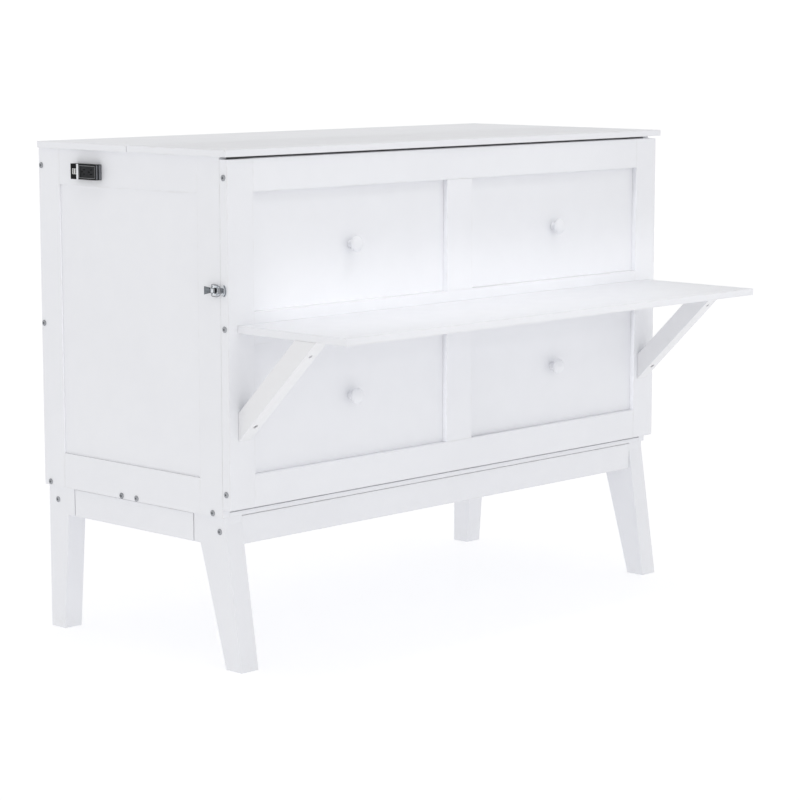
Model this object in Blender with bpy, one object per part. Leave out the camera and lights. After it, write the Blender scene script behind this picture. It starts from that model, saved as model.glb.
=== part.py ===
"""Cabinet bed with a fixed desk shelf: a chest on four legs whose framed front folds down.

The front carries four recessed fields with knobs and a shelf on two braces. Lowered, it becomes
the middle third of a double bed, and the shelf becomes its support on the floor. A slatted foot
section is stored behind the front, hinged at its top edge, and unfolds onto a steel hoop. Half
of the top board is a flap that folds back onto the other half. A toggle latch on each side holds
the front closed.

Frame: +Z up, -Y to the front, +X to the right of someone facing the front. The origin lies on
the floor, below the middle of the whole closed object.
"""

import math

import bmesh
import bpy
from mathutils import Matrix, Vector

# Overall sizes
CABINET_WIDTH = 1.470
CABINET_DEPTH = 0.620
TOTAL_HEIGHT = 1.144
CABINET_BOTTOM = 0.341        # underside of the cabinet, on top of the leg frame
GAP = 0.0003                  # clearance between pieces that touch
JOINT_GAP = 0.001             # clearance between pieces that move past each other
PANEL_GAP = 0.0005            # between the closed front panel and the cabinet

# Boards
BOARD = 0.015                 # top boards and bottom board
BACK_BOARD = 0.012
BACK_SETBACK = 0.001          # of the back panel from the sides' back edges
REBATE_HEIGHT = 0.0047        # step along the bottom board's front edge
REBATE_DEPTH = 0.006
TOP_OVERHANG_SIDE = 0.011
TOP_OVERHANG_FRONT = 0.032
TOP_SETBACK_REAR = 0.008
SIDE_THICKNESS = 0.020
SIDE_STILE = 0.0735
SIDE_RAIL = 0.0815
SIDE_FIELD_THICKNESS = 0.010
SIDE_FIELD_RECESS = 0.004

# Front panel
PANEL_THICKNESS = 0.024
PANEL_BOTTOM = 0.360
PANEL_TOP = 1.123
PANEL_STILE = 0.0755
PANEL_RAIL = 0.0715
MUNTIN = 0.0865
MID_RAIL_CENTRE = 0.7545
FIELD_THICKNESS = 0.011
KNOB_RADIUS = 0.0185

# Desk shelf and its braces
SHELF_DEPTH = 0.333
SHELF_THICKNESS = 0.016
SHELF_TOP = 0.7645
SHELF_INSET = 0.0265
BRACE_WIDTH = 0.036
BRACE_FOOT_LOW = 0.511
BRACE_FOOT_HIGH = 0.574
BRACE_TOP_NEAR = 0.178
BRACE_TOP_FAR = 0.243

# Leg frame
BASE_RAIL = 0.066
BASE_RAIL_THICKNESS = 0.020
LEG_INSET = 0.008
LEG_WIDTH = 0.050
SHADOW_GAP = 0.003
LEG_BLOCK_FRONT = (0.002, 0.1035)   # these six are measured back from the cabinet's front plane
LEG_BLOCK_BACK = (0.5225, 0.615)
FRONT_FOOT = (-0.048, 0.002)
FRONT_KNEE = 0.083
BACK_FOOT = 0.567
BACK_KNEE = 0.545
LEG_STRAIGHT = 0.050          # upright run of a front leg above the base rail's lower edge

# Slatted decks, measured as they lie when the bed is open
DECK_HALF_WIDTH = 0.700
DECK_DEPTH = 0.030
SLAT = 0.060
SLAT_THICKNESS = 0.012
BATTEN = 0.040
FOOT_LENGTH = 0.555
FOOT_FRAME_DEPTH = 0.045
FOOT_FRAME_BOARD = 0.022
FOOT_SLAT_THICKNESS = 0.016
HEAD_DECK_INSET = (0.030, 0.008)    # from the cabinet's front plane and from its back panel
MIDDLE_DECK_START = 0.030           # from the front panel's hinge
HOOP_RADIUS = 0.011
HOOP_HALF_WIDTH = 0.655
HOOP_FROM_END = 0.050
HOOP_DROP = 0.030             # depth of the hoop's pivot below the deck's top face
HOOP_STUB = 0.006             # how far the tube runs on past its pivot

# Piano hinges
LEAF_THICKNESS = 0.0012
LEAF_WIDTH = 0.024
KNUCKLE_RADIUS = 0.0017
KNUCKLE_COUNT = 10
KNUCKLE_GAP = 0.0015

# Toggle latches
LATCH_Z = 0.841
LATCH_REACH = 0.018           # how far the lever's tip stands off the cabinet's side
LATCH_AXIS_OUT = 0.006
LEVER_AXIS_BACK = 0.010
BAIL_AXIS_BACK = 0.0215
WIRE_RADIUS = 0.001

# Charging outlet on the left side's top rail
OUTLET_REACH = 0.018
OUTLET_BACK = (0.394, 0.482)  # from the cabinet's front plane
OUTLET_Z = (1.0625, 1.0975)
OUTLET_RIM = 0.0025
OUTLET_TRAY = 0.006
TRIM_WIDTH = 0.007
TRIM_DEPTH = 0.0015
USB_RIM = 0.0045
USB_SIZE = (0.0155, 0.0130)   # along the side, and up

# Places worked out from the sizes above
HALF_WIDTH = CABINET_WIDTH / 2
TOTAL_DEPTH = CABINET_DEPTH + PANEL_GAP + PANEL_THICKNESS + SHELF_DEPTH
FRONT = -TOTAL_DEPTH / 2 + SHELF_DEPTH + PANEL_THICKNESS + PANEL_GAP   # cabinet's front plane
BACK = FRONT + CABINET_DEPTH
TOP_UNDERSIDE = TOTAL_HEIGHT - BOARD
BOTTOM_BOARD_TOP = CABINET_BOTTOM + BOARD
PANEL_BACK = FRONT - PANEL_GAP                                         # panel's inner face
PANEL_FACE = PANEL_BACK - PANEL_THICKNESS
FLAP_SEAM = FRONT + 0.294
PANEL_HINGE_Z = (BOTTOM_BOARD_TOP + PANEL_BOTTOM) / 2
FOOT_HINGE_Y = PANEL_BACK + DECK_DEPTH + JOINT_GAP / 2
FOOT_HINGE_Z = PANEL_TOP + JOINT_GAP / 2
LEAF_SEAT = LEAF_THICKNESS + 2 * GAP      # from a foot hinge's axis to the end face it sits on
HOOP_PIVOT_Y = FOOT_HINGE_Y + JOINT_GAP / 2 + HOOP_DROP
HOOP_PIVOT_Z = FOOT_HINGE_Z - FOOT_LENGTH + HOOP_FROM_END
HOOP_LENGTH = PANEL_HINGE_Z + DECK_DEPTH - HOOP_DROP - JOINT_GAP / 2

# Each body's parent and the point its origin sits at: on its joint's axis
BODIES = {
    "cabinet": (None, (0.0, 0.0, 0.0)),
    "front_panel": ("cabinet", (0.0, PANEL_BACK, PANEL_HINGE_Z)),
    "foot_section": ("front_panel", (0.0, FOOT_HINGE_Y, FOOT_HINGE_Z)),
    "foot_hoop": ("foot_section", (0.0, HOOP_PIVOT_Y, HOOP_PIVOT_Z)),
    "top_flap": ("cabinet", (0.0, FLAP_SEAM, TOTAL_HEIGHT + JOINT_GAP / 2)),
}
for side_name, sign in (("left", -1), ("right", 1)):
    axis_x = sign * (HALF_WIDTH + LATCH_AXIS_OUT)
    lever_axis = (axis_x, FRONT + LEVER_AXIS_BACK, LATCH_Z)
    bail_axis = (axis_x, FRONT + BAIL_AXIS_BACK, LATCH_Z)
    BODIES[f"latch_lever_{side_name}"] = ("cabinet", lever_axis)
    BODIES[f"latch_bail_{side_name}"] = (f"latch_lever_{side_name}", bail_axis)

# Finish: base colour, roughness, metallic
FINISHES = {
    "white_paint": ((0.86, 0.86, 0.87), 0.38, 0.0),
    "slat_timber": ((0.72, 0.55, 0.36), 0.60, 0.0),
    "hinge_steel": ((0.62, 0.62, 0.63), 0.32, 1.0),
    "latch_steel": ((0.55, 0.58, 0.62), 0.22, 1.0),
    "hoop_paint": ((0.80, 0.80, 0.81), 0.45, 0.0),
    "black_plastic": ((0.02, 0.02, 0.022), 0.35, 0.0),
    "white_plastic": ((0.80, 0.80, 0.78), 0.40, 0.0),
}


# ---- Helpers -------------------------------------------------------------------------------

def clear_scene():
    for obj in list(bpy.data.objects):
        bpy.data.objects.remove(obj, do_unlink=True)


def make_bodies():
    """One empty for each body, on its joint's axis and parented as the joints are."""
    empties = {}
    for name, (parent, origin) in BODIES.items():
        empty = bpy.data.objects.new(f"axis_{name}", None)
        empty.empty_display_size = 0.05
        bpy.context.scene.collection.objects.link(empty)
        empty.location = Vector(origin)
        if parent:
            empty.parent = empties[parent]
            empty.location = Vector(origin) - Vector(BODIES[parent][1])
        empties[name] = empty
    return empties


def new_material(name, finish):
    colour, roughness, metallic = FINISHES[finish]
    material = bpy.data.materials.new(name)
    material.use_nodes = True
    shader = material.node_tree.nodes["Principled BSDF"]
    shader.inputs["Base Color"].default_value = (*colour, 1.0)
    shader.inputs["Roughness"].default_value = roughness
    shader.inputs["Metallic"].default_value = metallic
    return material


def add_piece(name, mesh, finish, body, centre, turn_x=0.0, smooth=False):
    """Turns a mesh drawn about its own origin into a named piece of a body."""
    mesh.materials.clear()
    mesh.materials.append(new_material(name, finish))
    if smooth:
        mesh.shade_smooth()
        mesh.set_sharp_from_angle(angle=math.radians(35))
    piece = bpy.data.objects.new(name, mesh)
    bpy.context.scene.collection.objects.link(piece)
    piece.parent = EMPTIES[body]
    piece.location = Vector(centre) - Vector(BODIES[body][1])
    piece.rotation_euler.x = turn_x
    return piece


def finish_mesh(bm, name):
    bmesh.ops.recalc_face_normals(bm, faces=bm.faces)
    mesh = bpy.data.meshes.new(name)
    bm.to_mesh(mesh)
    bm.free()
    return mesh


def box_mesh(x, y, z):
    """A box between (low, high) pairs."""
    bm = bmesh.new()
    bmesh.ops.create_cube(bm, size=1.0)
    for vert in bm.verts:
        for axis, (low, high) in enumerate((x, y, z)):
            vert.co[axis] = (low + high) / 2 + vert.co[axis] * (high - low)
    return finish_mesh(bm, "box")


def board(name, x, y, z, finish="white_paint", body="cabinet"):
    """A rectangular board given by its world extents, with its origin at its own centre."""
    centre = Vector([(low + high) / 2 for low, high in (x, y, z)])
    half = [(high - low) / 2 for low, high in (x, y, z)]
    mesh = box_mesh(*[(-h, h) for h in half])
    return add_piece(name, mesh, finish, body, centre)


def prism_mesh(outline, along, low, high):
    """An outline extruded along an axis. Its two numbers are the other axes, in X, Y, Z order."""
    bm = bmesh.new()
    others = [axis for axis in range(3) if axis != along]
    verts = []
    for first, second in outline:
        place = [0.0, 0.0, 0.0]
        place[others[0]], place[others[1]], place[along] = first, second, low
        verts.append(bm.verts.new(place))
    face = bm.faces.new(verts)
    pushed = bmesh.ops.extrude_face_region(bm, geom=[face])
    step = Vector([0.0, 0.0, 0.0])
    step[along] = high - low
    moved = [item for item in pushed["geom"] if isinstance(item, bmesh.types.BMVert)]
    bmesh.ops.translate(bm, verts=moved, vec=step)
    return finish_mesh(bm, "prism")


def loft_mesh(sections):
    """A closed skin over rings of points, capped at both ends."""
    bm = bmesh.new()
    rings = [[bm.verts.new(point) for point in section] for section in sections]
    for near, far in zip(rings, rings[1:]):
        count = len(near)
        for i in range(count):
            j = (i + 1) % count
            bm.faces.new((near[i], near[j], far[j], far[i]))
    bm.faces.new(rings[0])
    bm.faces.new(rings[-1])
    return finish_mesh(bm, "loft")


def union_mesh(meshes):
    """One closed mesh from several overlapping ones."""
    scene_objects = bpy.context.scene.collection.objects
    whole = bpy.data.objects.new("union", meshes[0])
    scene_objects.link(whole)
    tools = []
    for mesh in meshes[1:]:
        tool = bpy.data.objects.new("tool", mesh)
        scene_objects.link(tool)
        tools.append(tool)
        modifier = whole.modifiers.new("join", "BOOLEAN")
        modifier.operation = "UNION"
        modifier.solver = "EXACT"
        modifier.object = tool
    bpy.context.view_layer.update()
    evaluated = whole.evaluated_get(bpy.context.evaluated_depsgraph_get())
    result = bpy.data.meshes.new_from_object(evaluated)
    for tool in tools + [whole]:
        bpy.data.objects.remove(tool, do_unlink=True)
    return result


def turned_mesh(profile, steps=24):
    """A round solid about the Y axis, from (radius, y) points that start and end on the axis."""
    bm = bmesh.new()
    points = [bm.verts.new((radius, y, 0.0)) for radius, y in profile]
    edges = [bm.edges.new(pair) for pair in zip(points, points[1:])]
    bmesh.ops.spin(bm, geom=points + edges, axis=(0, 1, 0), cent=(0, 0, 0),
                   angle=2 * math.pi, steps=steps, use_merge=True)
    bmesh.ops.remove_doubles(bm, verts=bm.verts, dist=0.00001)
    return finish_mesh(bm, "turned")


def arc(centre, radius, start, end, steps):
    """Points on a circle in a plane, angles in degrees."""
    angles = [math.radians(start + (end - start) * i / steps) for i in range(steps + 1)]
    return [(centre[0] + radius * math.cos(a), centre[1] + radius * math.sin(a)) for a in angles]


def mirrored(mesh):
    """The mesh's mirror image in X."""
    mesh.transform(Matrix.Scale(-1, 4, (1, 0, 0)))
    mesh.flip_normals()
    return mesh


# ---- Cabinet -------------------------------------------------------------------------------

def make_side(side_name, sign):
    """A framed side: two stiles, two rails and a field set back from the outer face."""
    x = sorted((sign * HALF_WIDTH, sign * (HALF_WIDTH - SIDE_THICKNESS)))
    z = (CABINET_BOTTOM, TOP_UNDERSIDE - GAP)
    front_stile_end = FRONT + SIDE_STILE
    back_stile_start = BACK - SIDE_STILE
    rail_y = (front_stile_end + GAP, back_stile_start - GAP)
    board(f"side_{side_name}_front_stile", x, (FRONT, front_stile_end), z)
    board(f"side_{side_name}_back_stile", x, (back_stile_start, BACK), z)
    board(f"side_{side_name}_top_rail", x, rail_y, (z[1] - SIDE_RAIL, z[1]))
    board(f"side_{side_name}_bottom_rail", x, rail_y, (z[0], z[0] + SIDE_RAIL))
    outer = HALF_WIDTH - SIDE_FIELD_RECESS
    field_x = sorted((sign * outer, sign * (outer - SIDE_FIELD_THICKNESS)))
    field_z = (z[0] + SIDE_RAIL + GAP, z[1] - SIDE_RAIL - GAP)
    board(f"side_{side_name}_field", field_x, rail_y, field_z)


def make_carcass():
    inner = HALF_WIDTH - SIDE_THICKNESS - GAP
    board("back_panel", (-inner, inner), (BACK - BACK_BOARD, BACK - BACK_SETBACK),
          (CABINET_BOTTOM, TOP_UNDERSIDE - GAP))
    # Bottom board: its front edge is rebated under the panel, which leaves a shadow line
    near, far = FRONT, BACK - BACK_BOARD - GAP
    lip_z = BOTTOM_BOARD_TOP - REBATE_HEIGHT
    outline = [(near, CABINET_BOTTOM), (near, lip_z), (near + REBATE_DEPTH, lip_z),
               (near + REBATE_DEPTH, BOTTOM_BOARD_TOP), (far, BOTTOM_BOARD_TOP),
               (far, CABINET_BOTTOM)]
    centre = Vector((0.0, (near + far) / 2, CABINET_BOTTOM))
    local = [(y - centre.y, z - centre.z) for y, z in outline]
    add_piece("bottom_board", prism_mesh(local, 0, -inner, inner), "white_paint", "cabinet", centre)
    top_x = HALF_WIDTH + TOP_OVERHANG_SIDE
    board("top_rear_board", (-top_x, top_x), (FLAP_SEAM + JOINT_GAP, BACK - TOP_SETBACK_REAR),
          (TOP_UNDERSIDE, TOTAL_HEIGHT))
    board("top_front_flap", (-top_x, top_x), (FRONT - TOP_OVERHANG_FRONT, FLAP_SEAM - JOINT_GAP),
          (TOP_UNDERSIDE, TOTAL_HEIGHT), body="top_flap")


# ---- Leg frame -----------------------------------------------------------------------------

def make_leg_frame():
    """Four legs with a block for each rail end. The front pair splays forward and tapers."""
    top = CABINET_BOTTOM - GAP
    low = CABINET_BOTTOM - BASE_RAIL
    block_front = [FRONT + y for y in LEG_BLOCK_FRONT]
    block_back = [FRONT + y for y in LEG_BLOCK_BACK]
    front_leg = [
        (block_front[0], top), (block_front[0], low + LEG_STRAIGHT),
        (FRONT + FRONT_FOOT[0], 0.0), (FRONT + FRONT_FOOT[1], 0.0), (FRONT + FRONT_KNEE, low),
        (block_front[1], low), (block_front[1], top),
    ]
    back_leg = [
        (block_back[1], top), (block_back[1], 0.0), (FRONT + BACK_FOOT, 0.0),
        (FRONT + BACK_KNEE, low), (block_back[0], low), (block_back[0], top),
    ]
    outer = HALF_WIDTH - LEG_INSET
    for side_name, sign in (("left", -1), ("right", 1)):
        middle = sign * (outer - LEG_WIDTH / 2)
        for place, outline in (("front", front_leg), ("back", back_leg)):
            centre = Vector((middle, outline[0][0], top))
            local = [(y - centre.y, z - centre.z) for y, z in outline]
            mesh = prism_mesh(local, 0, -LEG_WIDTH / 2, LEG_WIDTH / 2)
            add_piece(f"leg_{place}_{side_name}", mesh, "white_paint", "cabinet", centre)
        rail_x = sorted((sign * outer, sign * (outer - BASE_RAIL_THICKNESS)))
        board(f"base_side_rail_{side_name}", rail_x,
              (block_front[1] + SHADOW_GAP, block_back[0] - SHADOW_GAP),
              (low, CABINET_BOTTOM - SHADOW_GAP))
    span = outer - LEG_WIDTH - GAP
    board("base_front_rail", (-span, span),
          (block_front[0], block_front[0] + BASE_RAIL_THICKNESS), (low, top - SHADOW_GAP / 2))
    board("base_back_rail", (-span, span),
          (block_back[1] - BASE_RAIL_THICKNESS, block_back[1]), (low, top))


# ---- Front panel ---------------------------------------------------------------------------

def make_front_panel():
    y = (PANEL_FACE, PANEL_BACK)
    edge = HALF_WIDTH - PANEL_STILE
    rail_x = (-edge + GAP, edge - GAP)
    mid = (MID_RAIL_CENTRE - PANEL_RAIL / 2, MID_RAIL_CENTRE + PANEL_RAIL / 2)
    low = PANEL_BOTTOM + PANEL_RAIL
    high = PANEL_TOP - PANEL_RAIL

    def frame_board(name, x, z):
        board(name, x, y, z, body="front_panel")

    frame_board("panel_stile_left", (-HALF_WIDTH, -edge), (PANEL_BOTTOM, PANEL_TOP))
    frame_board("panel_stile_right", (edge, HALF_WIDTH), (PANEL_BOTTOM, PANEL_TOP))
    frame_board("panel_top_rail", rail_x, (high, PANEL_TOP))
    frame_board("panel_mid_rail", rail_x, mid)
    frame_board("panel_bottom_rail", rail_x, (PANEL_BOTTOM, low))
    rows = (("lower", (low + GAP, mid[0] - GAP)), ("upper", (mid[1] + GAP, high - GAP)))
    for row, z in rows:
        frame_board(f"panel_muntin_{row}", (-MUNTIN / 2, MUNTIN / 2), z)
        for side_name, sign in (("left", -1), ("right", 1)):
            x = sorted((sign * (MUNTIN / 2 + GAP), sign * (edge - GAP)))
            board(f"panel_field_{row}_{side_name}", x, (PANEL_BACK - FIELD_THICKNESS, PANEL_BACK),
                  z, body="front_panel")
            make_knob(f"knob_{row}_{side_name}", sum(x) / 2, sum(z) / 2)


def make_knob(name, x, z):
    """A mushroom knob: base ring, waisted neck and domed head."""
    base = -GAP
    profile = [
        (0.0, base), (0.0095, base), (0.0095, base - 0.002), (0.0070, base - 0.006),
        (0.0075, base - 0.012), (0.0125, base - 0.016), (KNOB_RADIUS, base - 0.0185),
        (KNOB_RADIUS, base - 0.0215), (0.0150, base - 0.0265), (0.0080, base - 0.0292),
        (0.0, base - 0.030),
    ]
    seat = PANEL_BACK - FIELD_THICKNESS
    add_piece(name, turned_mesh(profile), "white_paint", "front_panel", (x, seat, z), smooth=True)


def make_desk():
    """The fixed shelf and its two diagonal braces. Lowered, the shelf's edge meets the floor."""
    half = HALF_WIDTH - SHELF_INSET
    shelf_y = (PANEL_FACE - SHELF_DEPTH, PANEL_FACE - GAP)
    board("desk_shelf", (-half, half), shelf_y, (SHELF_TOP - SHELF_THICKNESS, SHELF_TOP),
          body="front_panel")
    under = SHELF_TOP - SHELF_THICKNESS - GAP
    outline = [
        (-GAP, BRACE_FOOT_LOW), (-GAP, BRACE_FOOT_HIGH),
        (-BRACE_TOP_NEAR, under), (-BRACE_TOP_FAR, under),
    ]
    for side_name, sign in (("left", -1), ("right", 1)):
        centre = Vector((sign * (half - BRACE_WIDTH / 2), PANEL_FACE, under))
        local = [(y, z - centre.z) for y, z in outline]
        mesh = prism_mesh(local, 0, -BRACE_WIDTH / 2, BRACE_WIDTH / 2)
        add_piece(f"desk_brace_{side_name}", mesh, "white_paint", "front_panel", centre)


# ---- Slatted decks -------------------------------------------------------------------------

def spaced(start, end, count, width):
    """Low and high ends of equal strips spread evenly from start to end."""
    step = (end - start - width) / (count - 1)
    return [(start + i * step, start + i * step + width) for i in range(count)]


def deck_mesh(near, far, depth, slat_thickness, slats, lengthwise, crosswise):
    """A slatted deck as it lies in the open bed: top face at z = 0, reaching towards -Y.

    The slats lie on lengthwise boards, given by their X extents, and on crosswise boards, given
    by their Y extents.
    """
    width = (-DECK_HALF_WIDTH, DECK_HALF_WIDTH)
    bite = 0.002                      # how far the slats are let into the boards below
    meshes = []
    for y in crosswise:
        meshes.append(box_mesh(width, y, (-depth, 0.0)))
    for x in lengthwise:
        meshes.append(box_mesh(x, (far, near), (-depth, -slat_thickness + bite)))
    for y in slats:
        meshes.append(box_mesh(width, y, (-slat_thickness, 0.0)))
    return union_mesh(meshes)


def make_decks():
    middle = ((-BATTEN / 2, BATTEN / 2),)
    edges = ((-DECK_HALF_WIDTH, -DECK_HALF_WIDTH + BATTEN),
             (DECK_HALF_WIDTH - BATTEN, DECK_HALF_WIDTH))

    # Head deck: lies on the cabinet's bottom board
    head_top = PANEL_HINGE_Z + DECK_DEPTH
    head_depth = head_top - BOTTOM_BOARD_TOP - GAP
    head_near = BACK - BACK_BOARD - HEAD_DECK_INSET[1]
    head_far = FRONT + HEAD_DECK_INSET[0]
    mesh = deck_mesh(head_near, head_far, head_depth, SLAT_THICKNESS,
                     spaced(head_far, head_near, 6, SLAT), edges + middle, ())
    add_piece("head_slat_deck", mesh, "slat_timber", "cabinet", (0.0, 0.0, head_top))

    # Middle deck: on the panel's inner face, with a full-depth board for the foot hinge
    length = FOOT_HINGE_Z - LEAF_SEAT - PANEL_HINGE_Z
    end_board = (-length, -length + BATTEN)
    mesh = deck_mesh(-MIDDLE_DECK_START, -length, DECK_DEPTH - GAP, SLAT_THICKNESS,
                     spaced(end_board[1] + SLAT / 2, -MIDDLE_DECK_START, 6, SLAT),
                     edges + middle, (end_board,))
    add_piece("middle_slat_deck", mesh, "slat_timber", "front_panel",
              (0.0, PANEL_BACK + DECK_DEPTH, PANEL_HINGE_Z), turn_x=-math.pi / 2)

    # Foot deck: a deeper frame that shelters the hoop
    rim = ((-DECK_HALF_WIDTH, -DECK_HALF_WIDTH + FOOT_FRAME_BOARD),
           (DECK_HALF_WIDTH - FOOT_FRAME_BOARD, DECK_HALF_WIDTH))
    near_board = (-LEAF_SEAT - FOOT_FRAME_BOARD, -LEAF_SEAT)
    far_board = (-FOOT_LENGTH, -FOOT_LENGTH + FOOT_FRAME_BOARD)
    mesh = deck_mesh(-LEAF_SEAT, -FOOT_LENGTH, FOOT_FRAME_DEPTH, FOOT_SLAT_THICKNESS,
                     spaced(far_board[1] + SLAT / 2, near_board[0] - SLAT / 2, 4, SLAT),
                     rim, (near_board, far_board))
    add_piece("foot_slat_deck", mesh, "slat_timber", "foot_section",
              (0.0, FOOT_HINGE_Y + JOINT_GAP / 2, FOOT_HINGE_Z), turn_x=math.pi / 2)


def make_hoop():
    """The foot's steel leg: one tube bent into a U, folded up inside the foot frame."""
    bend = 0.045
    reach = HOOP_LENGTH - HOOP_RADIUS
    side = HOOP_HALF_WIDTH
    corner_right = arc((side - bend, reach - bend), bend, 0, 90, 6)
    corner_left = arc((-side + bend, reach - bend), bend, 90, 180, 6)
    path = [(side, -HOOP_STUB)] + corner_right + corner_left + [(-side, -HOOP_STUB)]
    curve = bpy.data.curves.new("foot_hoop", "CURVE")
    curve.dimensions = "3D"
    curve.bevel_depth = HOOP_RADIUS
    curve.bevel_resolution = 3
    curve.use_fill_caps = True
    spline = curve.splines.new("POLY")
    spline.points.add(len(path) - 1)
    for point, (x, z) in zip(spline.points, path):
        point.co = (x, 0.0, z, 1.0)
    curve.materials.append(new_material("foot_hoop", "hoop_paint"))
    hoop = bpy.data.objects.new("foot_hoop", curve)
    bpy.context.scene.collection.objects.link(hoop)
    hoop.parent = EMPTIES["foot_hoop"]


# ---- Piano hinges --------------------------------------------------------------------------

def leaf_mesh(offset, first):
    """Half of a piano hinge along X, its pin line at the origin and its leaf towards +Y.

    The leaf's faces lie at z = offset and offset + thickness. first is 0 or 1: which of the
    alternate knuckles belong to this leaf.
    """
    pitch = 2 * DECK_HALF_WIDTH / KNUCKLE_COUNT
    clear = KNUCKLE_RADIUS + 0.0004
    thickness = (offset, offset + LEAF_THICKNESS)
    meshes = [box_mesh((-DECK_HALF_WIDTH, DECK_HALF_WIDTH), (clear, LEAF_WIDTH), thickness)]
    for i in range(first, KNUCKLE_COUNT, 2):
        low = -DECK_HALF_WIDTH + i * pitch + KNUCKLE_GAP / 2
        high = low + pitch - KNUCKLE_GAP
        circle = arc((0.0, 0.0), KNUCKLE_RADIUS, 0, 360, 12)[:-1]
        meshes.append(prism_mesh(circle, 0, low, high))
        meshes.append(box_mesh((low, high), (0.0004, clear + 0.0006), thickness))
    return union_mesh(meshes)


def make_hinges():
    lie_under = -KNUCKLE_RADIUS
    lower = leaf_mesh(lie_under, 0)
    add_piece("panel_hinge_lower_leaf", lower, "hinge_steel", "cabinet",
              BODIES["front_panel"][1])
    # Stood up against the panel's inner face: the leaf runs up from the pin line
    upper = leaf_mesh(-GAP - LEAF_THICKNESS, 1)
    add_piece("panel_hinge_upper_leaf", upper, "hinge_steel", "front_panel",
              BODIES["front_panel"][1], turn_x=math.pi / 2)
    foot = leaf_mesh(-GAP - LEAF_THICKNESS, 0)
    add_piece("foot_hinge_foot_leaf", foot, "hinge_steel", "foot_section",
              BODIES["foot_section"][1])
    middle = leaf_mesh(GAP, 1)
    add_piece("foot_hinge_middle_leaf", middle, "hinge_steel", "front_panel",
              BODIES["foot_section"][1], turn_x=math.pi)


# ---- Toggle latches ------------------------------------------------------------------------

def strip_mesh(stations):
    """A bent strip along Y. Each station is y, outward place of its middle, half width, half
    thickness."""
    sections = []
    for y, out, half_width, half_thickness in stations:
        sections.append([
            (out - half_thickness, y, -half_width), (out + half_thickness, y, -half_width),
            (out + half_thickness, y, half_width), (out - half_thickness, y, half_width),
        ])
    return loft_mesh(sections)


def latch_base_mesh():
    """Mounting plate with two ears. Drawn for the right side, from the cabinet's side plane."""
    plate = box_mesh((GAP, 0.0018), (0.002, 0.029), (-0.0105, 0.0105))
    ears = [box_mesh((0.0012, 0.0086), (0.0052, 0.0148), z)
            for z in ((-0.0098, -0.0078), (0.0078, 0.0098))]
    return union_mesh([plate] + ears)


def latch_lever_mesh():
    """Barrel on the lever's axis and a plate that widens and curls out to a finger tab."""
    half = 0.0006
    tip = LATCH_REACH - half - LATCH_AXIS_OUT
    plate = strip_mesh([
        (-0.0010, 0.0030, 0.0050, half), (0.0060, 0.0034, 0.0052, half),
        (0.0120, 0.0036, 0.0056, half), (0.0145, 0.0046, 0.0062, half),
        (0.0185, 0.0075, 0.0078, half), (0.0228, tip, 0.0090, half),
    ])
    barrel = prism_mesh(arc((0.0, 0.0), 0.0030, 0, 360, 16)[:-1], 2, -0.0074, 0.0074)
    return union_mesh([barrel, plate])


def latch_strike_mesh():
    """Plate with a rounded front edge and a hook that the bail reaches over."""
    nose = arc((-0.0037, 0.0), 0.0160, 127, 233, 10)
    root = (-0.0035, 0.0075)
    plate = prism_mesh([root] + nose + [(root[0], -root[1])], 0, GAP, 0.0018)
    hook = strip_mesh([(-0.0068, 0.0030, 0.0068, 0.0030), (-0.0018, 0.0042, 0.0068, 0.0030)])
    return union_mesh([plate, hook])


def make_bail(side_name, sign):
    """A wire loop: its straight back lies on its axis, its narrow front reaches over the hook."""
    rise = 0.0030
    front = -BAIL_AXIS_BACK - 0.0085
    half_path = [
        (0.0, 0.0, 0.0), (0.0, 0.0, 0.0070), (0.0, 0.0, 0.0105), (0.0, -0.0012, 0.0124),
        (0.15 * rise, -0.0060, 0.0130), (0.4 * rise, -0.0130, 0.0130),
        (0.75 * rise, -0.0190, 0.0122), (rise, -0.0240, 0.0104), (rise, front + 0.0022, 0.0082),
        (rise, front, 0.0056),
    ]
    path = half_path + [(x, y, -z) for x, y, z in reversed(half_path[1:])]
    curve = bpy.data.curves.new(f"latch_bail_{side_name}", "CURVE")
    curve.dimensions = "3D"
    curve.bevel_depth = WIRE_RADIUS
    curve.bevel_resolution = 2
    spline = curve.splines.new("POLY")
    spline.points.add(len(path) - 1)
    spline.use_cyclic_u = True
    for point, (x, y, z) in zip(spline.points, path):
        point.co = (sign * x, y, z, 1.0)
    curve.materials.append(new_material(f"latch_bail_{side_name}", "latch_steel"))
    bail = bpy.data.objects.new(f"latch_bail_{side_name}", curve)
    bpy.context.scene.collection.objects.link(bail)
    bail.parent = EMPTIES[f"latch_bail_{side_name}"]


def make_latches():
    for side_name, sign in (("left", -1), ("right", 1)):
        side_plane = (sign * HALF_WIDTH, FRONT, LATCH_Z)
        pieces = (
            ("latch_base", latch_base_mesh(), "cabinet", side_plane),
            ("latch_strike", latch_strike_mesh(), "front_panel", side_plane),
            ("latch_lever", latch_lever_mesh(), f"latch_lever_{side_name}",
             BODIES[f"latch_lever_{side_name}"][1]),
        )
        for name, mesh, body, centre in pieces:
            if sign < 0:
                mesh = mirrored(mesh)
            add_piece(f"{name}_{side_name}", mesh, "latch_steel", body, centre)
        make_bail(side_name, sign)


# ---- Charging outlet -----------------------------------------------------------------------

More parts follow.
